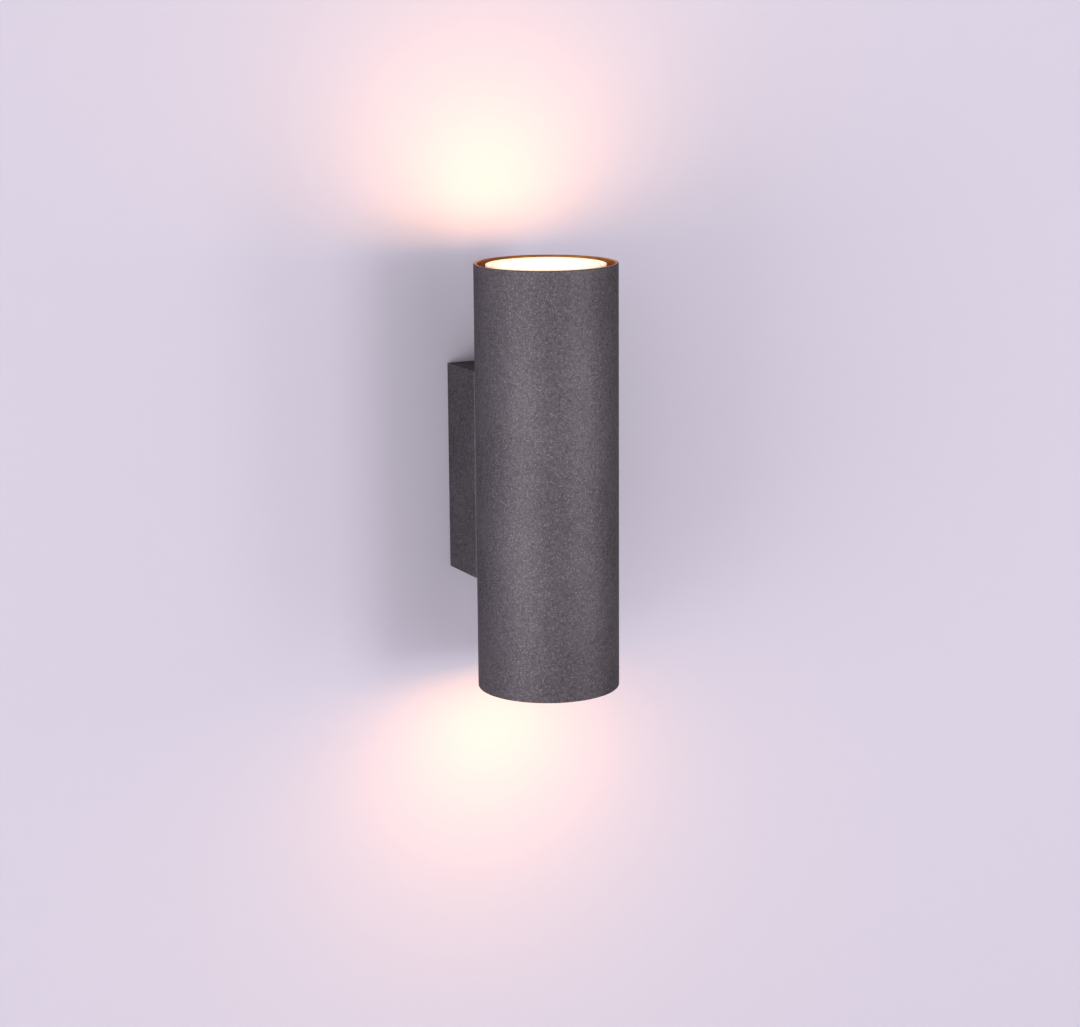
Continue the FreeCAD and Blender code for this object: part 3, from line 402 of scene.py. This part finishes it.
def earth_insulation():
    """Green insulation with a yellow stripe along the wire."""
    finish = Finish("earth_insulation_finish")
    stripe = finish.node("ShaderNodeTexWave", {"wave_type": "BANDS", "bands_direction": "DIAGONAL"},
                         {"Vector": finish.place, "Scale": STRIPES_PER_METRE, "Distortion": 0.5},
                         "Fac")
    grain = finish.noise(SLEEVE_GRAINS, detail=2)
    tone = finish.blend(stripe.ramp(0.45, 0.55), colour(54, 122, 52), colour(214, 200, 62))
    return finish.surface(Base_Color=tone, Roughness=grain * 0.1 + 0.35,
                          Normal=finish.bump(grain, 0.01 * MM, 0.3))


# Slot, darker tone, lighter tone, grains per metre, roughness, metal, relief in millimetres.
PLAIN_FINISHES = [
    ("dark_screw", (44, 42, 45), (66, 63, 67), 1200, 0.42, 0.6, 0.02),
    ("zinc_screw", (158, 156, 146), (188, 186, 176), 900, 0.32, 0.9, 0.02),
    ("brass_screw", (176, 140, 76), (204, 168, 98), 900, 0.32, 0.9, 0.02),
    ("rubber_bush", (28, 28, 29), (40, 39, 40), 1500, 0.75, 0.0, 0.02),
    ("terminal_nylon", (216, 214, 204), (228, 226, 218), 700, 0.5, 0.0, 0.02),
    ("terminal_brass", (190, 168, 112), (210, 190, 136), 900, 0.3, 0.9, 0.02),
    ("lead_insulation", (222, 219, 208), (234, 231, 222), 1800, 0.5, 0.0, 0.02),
    ("holder_ceramic", (214, 208, 192), (228, 223, 210), 1400, 0.7, 0.0, 0.05),
    ("pin_nickel", (182, 178, 168), (206, 202, 194), 1100, 0.22, 1.0, 0.02),
    ("light_board", (224, 223, 216), (234, 233, 228), 500, 0.45, 0.0, 0.02),
    ("driver_laminate", (30, 84, 44), (44, 102, 56), 1600, 0.4, 0.0, 0.02),
]
FINISHES = {slot: plain_finish(slot, *looks) for slot, *looks in PLAIN_FINISHES}
FINISHES["anthracite_coat"] = anthracite_coat()
FINISHES["zinc_sheet"] = zinc_sheet()
FINISHES["earth_insulation"] = earth_insulation()
FINISHES["lamp_plastic"] = plastic("base_plastic_finish")
FINISHES["lit_lens"] = lit_lens()
slot_of = {part["node"]: part["material_slot"] for part in frame["record"]["subparts"]}
for name, part in NODES.items():
    part.material_slots[0].material = FINISHES[slot_of[name]]
print("finished", len(NODES), "parts with", len(FINISHES), "finishes")

# %% [markdown]
# ## Modelling by hand, in code
#
# Round pieces are grown from one circle: its edge is extruded, then scaled and moved to
# the next step of the outline, as a modeller does by hand. Every step names its two
# measures, the radius and the level.

# %% Growing a round piece
def only_select(item):
    bpy.ops.object.select_all(action="DESELECT")
    item.select_set(True)
    bpy.context.view_layer.objects.active = item


LENS_SEGMENTS, TUBE_SEGMENTS = 128, 192
MERGE = 0.01 * MM
SMOOTH_ANGLE = 30


def grow_round(name, steps, segments):
    """Grow a round piece round the tube's axis from (radius, level) steps. Steps that end
    where they start make a closed ring."""
    radius, level = steps[0]
    bpy.ops.object.select_all(action="DESELECT")
    bpy.ops.mesh.primitive_circle_add(vertices=segments, radius=radius,
                                      location=(AXIS_X, AXIS_Y, level))
    piece = bpy.context.object
    piece.name = name
    bpy.ops.object.mode_set(mode="EDIT")
    bpy.ops.mesh.select_mode(type="EDGE")
    for next_radius, next_level in steps[1:]:
        step = (0, 0, next_level - level)
        bpy.ops.mesh.extrude_edges_move(TRANSFORM_OT_translate={"value": step})
        factor = next_radius / radius
        bpy.ops.transform.resize(value=(factor, factor, 1),
                                 center_override=(AXIS_X, AXIS_Y, next_level))
        radius, level = next_radius, next_level
    bpy.ops.mesh.select_all(action="SELECT")
    bpy.ops.mesh.remove_doubles(threshold=MERGE)
    return piece


def close_and_place(piece):
    """Point the faces outwards, smooth what is round and put the place in the mesh."""
    bpy.ops.mesh.select_all(action="SELECT")
    bpy.ops.mesh.normals_make_consistent(inside=False)
    bpy.ops.object.mode_set(mode="OBJECT")
    only_select(piece)
    bpy.ops.object.transform_apply(location=True, rotation=True, scale=True)
    bpy.ops.object.shade_smooth_by_angle(angle=math.radians(SMOOTH_ANGLE))


def give(piece, *materials):
    piece.data.materials.clear()
    for material in materials:
        piece.data.materials.append(material)


print("round pieces are grown in", LENS_SEGMENTS, "or", TUBE_SEGMENTS, "segments")

# %% [markdown]
# ## The tube
#
# The tube is grown as a closed ring: over the rounded rim, down the inside, round the rim
# at the foot and up the outside. The bore takes the bronze. The rims' flat tops take it too,
# as a painted warm highlight where the lamps light them, and the rest takes the coat.

# %% Tube
def rim_steps(outer, inner, level, way):
    """Rounded rim from the outer to the inner radius, at one end of the tube."""
    bends = [math.radians(angle) for angle in (0, 30, 60, 90)]
    rounding = [(ROUNDING * (1 - math.cos(bend)), level - way * ROUNDING * (1 - math.sin(bend)))
                for bend in bends]
    outside = [(outer - inwards, height) for inwards, height in rounding]
    inside = [(inner + outwards, height) for outwards, height in rounding[::-1]]
    return outside + inside


inner_radius = TUBE_RADIUS - TUBE_WALL
# The bronze runs on over the flat top of each rim, and there it is a painted warm highlight where
# the lamps light the rims.
bronze_and_rim_highlight_radius = inner_radius + 0.6 * TUBE_WALL
top_rim = rim_steps(TUBE_RADIUS, inner_radius, TUBE_TOP, 1)
foot_rim = rim_steps(TUBE_RADIUS, inner_radius, TUBE_FOOT, -1)
tube = grow_round("tube_coated", top_rim + foot_rim[::-1] + top_rim[:1], TUBE_SEGMENTS)
close_and_place(tube)
give(tube, FINISHES["anthracite_coat"], bronze_inside())
for face in tube.data.polygons:
    out_from_axis = math.hypot(face.center.x - AXIS_X, face.center.y - AXIS_Y)
    face.material_index = 1 if out_from_axis < bronze_and_rim_highlight_radius else 0
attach(tube, "fitting")
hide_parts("tube")
print("tube faces:", len(tube.data.polygons))

# %% [markdown]
# ## The lamps
#
# The lens is a moulded disc. It is grown from a flat underside: a border, a narrow groove, a
# low ring and a slightly raised middle. The shells round the lenses are the construction's
# own, and they take the plastic that glows at its rim.

# %% Lamps
LENS_CENTRE = 0.02 * MM


def lens_steps(face, back, way):
    """Outline of the lens from its underside to the middle of its front. The front looks up
    where way is 1, and down where it is -1."""
    depth = (face - back) * way
    low = depth - STEP
    groove = LENS_RADIUS - BORDER
    ring = groove - GROOVE
    middle = ring - LOW_RING
    floor_level = low - GROOVE_DEPTH
    outline = [
        (LENS_RADIUS, 0.0), (LENS_RADIUS, low - SOFT), (LENS_RADIUS - SOFT, low),
        (groove + SOFT, low), (groove, low - SOFT), (groove - SOFT, floor_level),
        (ring + SOFT, floor_level), (ring, low - SOFT), (ring - SOFT, low),
        (middle + SOFT, low), (middle, low + SOFT), (middle - SOFT, depth),
        (middle * 0.5, depth), (LENS_CENTRE, depth),
    ]
    return [(radius, back + way * height) for radius, height in outline]


def make_lens(node, body, way):
    low, high = span(node)
    face, back = (high.z, low.z) if way > 0 else (low.z, high.z)
    name = node.replace("lamp_", "") + "_lit"
    lens = grow_round(name, lens_steps(face, back, way), LENS_SEGMENTS)
    bpy.ops.mesh.select_all(action="SELECT")
    bpy.ops.mesh.region_to_loop()
    bpy.ops.mesh.fill()
    close_and_place(lens)
    give(lens, FINISHES["lit_lens"])
    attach(lens, body)
    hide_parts(node)
    print(lens.name, "faces:", len(lens.data.polygons))


make_lens("lamp_lens_upper", "upper_lamp", 1)
make_lens("lamp_lens_lower", "lower_lamp", -1)

for name in ("lamp_shell_upper", "lamp_shell_lower"):
    NODES[name].material_slots[0].material = SHELL_PLASTIC

# %% [markdown]
# ## The room
#
# A pale wall stands behind the object and a pale floor far below. From behind, the wall
# can be seen through, and it has a hole that the wall box covers, so that the back of the
# light can be looked at too.

# %% Wall and floor
ROOM_SIZE = 6
WALL_LEVEL = 0.8 * MM
FLOOR_LEVEL = -0.9
COVERED_EDGE = 2 * MM


def wall_finish():
    finish = Finish("wall_finish")
    paint = finish.node("ShaderNodeBsdfDiffuse", None, {"Color": colour(211, 208, 219)})
    clear = finish.node("ShaderNodeBsdfTransparent")
    behind = finish.node("ShaderNodeNewGeometry", output="Backfacing")
    both = finish.node("ShaderNodeMixShader", None, {0: behind, 1: paint, 2: clear})
    finish.node("ShaderNodeOutputMaterial", None, {"Surface": both}, output=None)
    return finish.material


def floor_finish():
    finish = Finish("floor_finish")
    return finish.surface(Base_Color=colour(205, 200, 203), Roughness=0.9)


bpy.ops.object.select_all(action="DESELECT")
bpy.ops.mesh.primitive_plane_add(size=ROOM_SIZE, location=(0, WALL_LEVEL, 0),
                                 rotation=(math.radians(90), 0, 0))
wall = bpy.context.object
wall.name = "wall"
box_low, box_high = span("wall_box")
hole = box_high - box_low - 2 * COVERED_EDGE * Vector((1, 1, 1))
bpy.ops.object.mode_set(mode="EDIT")
bpy.ops.mesh.select_all(action="SELECT")
# The inset leaves a face one metre wide, so that the hole's size is its scale.
bpy.ops.mesh.inset(thickness=(ROOM_SIZE - 1) / 2)
bpy.ops.transform.resize(value=(hole.x, 1, hole.z), center_override=(0, WALL_LEVEL, 0))
bpy.ops.mesh.delete(type="FACE")
bpy.ops.object.mode_set(mode="OBJECT")
give(wall, wall_finish())
bpy.ops.object.select_all(action="DESELECT")
bpy.ops.mesh.primitive_plane_add(size=ROOM_SIZE, location=(0, 0, FLOOR_LEVEL))
floor = bpy.context.object
floor.name = "floor"
give(floor, floor_finish())
print("room ready")

# %% [markdown]
# ## Light
#
# The room is lit softly from three sides. The light on the left makes the pale band down
# the tube's left half, the one in front throws the soft shadow on the wall, and the narrow
# one on the right makes the faint band near the right edge. Two warm discs, one just above
# the tube and one just below it, stand in for the beams that wash the wall.

# %% Lights
ROOM_TINT = (1.0, 0.955, 1.0)
BEAM_POWER = 0.120
BEAM_COLOUR = (1.0, 0.42, 0.07)
BEAM_WIDTH = 0.9
UPPER_BEAM_GAP, LOWER_BEAM_GAP = 0.2 * MM, 4 * MM

# Name, azimuth, elevation, distance, width, height, power. Azimuth 0 is in front of the
# wall, and it grows to the right.
# Places are in degrees and metres, and powers in watts.
WINDOWS = [
    ("left_window", -65, -18, 1.6, 0.7, 0.8, 8.0),
    ("front_window", 22, -1, 1.5, 0.52, 0.52, 5.0),
    ("right_window", 48, -18, 1.6, 0.3, 0.8, 3.4),
]


def add_light(name, place, turn, shape, size, power, tint):
    """An area light of the given width and height."""
    data = bpy.data.lights.new(name, "AREA")
    data.shape = shape
    data.size, data.size_y = size
    data.energy = power
    data.color = tint
    light = bpy.data.objects.new(name, data)
    bpy.context.scene.collection.objects.link(light)
    light.location = place
    light.rotation_euler = turn
    return light


for name, azimuth, elevation, distance, width, height, power in WINDOWS:
    turn, rise = math.radians(azimuth), math.radians(elevation)
    forward = math.cos(rise)
    away = Vector((forward * math.sin(turn), -forward * math.cos(turn), math.sin(rise)))
    place = Vector((AXIS_X, AXIS_Y, TUBE_MIDDLE)) + away * distance
    facing = (-away).to_track_quat("-Z", "Y").to_euler()
    add_light(name, place, facing, "RECTANGLE", (width, height), power, ROOM_TINT)

# A disc shines down as it stands, so the upper one is turned over.
beam_size = [2 * LENS_RADIUS * BEAM_WIDTH] * 2
for name, level, tilt in (("upper_beam", TUBE_TOP + UPPER_BEAM_GAP, math.pi),
                          ("lower_beam", TUBE_FOOT - LOWER_BEAM_GAP, 0)):
    place = (AXIS_X, AXIS_Y, level)
    disc = add_light(name, place, (tilt, 0, 0), "DISK", beam_size, BEAM_POWER, BEAM_COLOUR)
    disc.visible_camera = False

# The room's own light comes more from its walls than from its ceiling, and more from the
# left than from the right. Each share turns one part of the view's direction into a factor.
ROOM_LIGHT = (0.80, 0.76, 0.81, 1)
SHARES = [
    ("Z", {"From Min": 0.0, "From Max": 0.7, "To Min": 1.9, "To Max": 0.12}),
    ("X", {"From Min": -1.0, "From Max": 1.0, "To Min": 1.6, "To Max": 0.34}),
]
world = bpy.data.worlds.new("room")
world.use_nodes = True
sky, wires = world.node_tree.nodes, world.node_tree.links
view_way = sky.new("ShaderNodeTexCoord")
parts = sky.new("ShaderNodeSeparateXYZ")
strength = sky.new("ShaderNodeMath")
strength.operation = "MULTIPLY"
wires.new(view_way.outputs["Generated"], parts.inputs["Vector"])
for index, (axis, limits) in enumerate(SHARES):
    share = sky.new("ShaderNodeMapRange")
    for socket, value in limits.items():
        share.inputs[socket].default_value = value
    wires.new(parts.outputs[axis], share.inputs["Value"])
    wires.new(share.outputs["Result"], strength.inputs[index])
wires.new(strength.outputs["Value"], sky["Background"].inputs["Strength"])
sky["Background"].inputs["Color"].default_value = ROOM_LIGHT
bpy.context.scene.world = world
bpy.context.scene.view_settings.view_transform = "Standard"
print("lights ready")
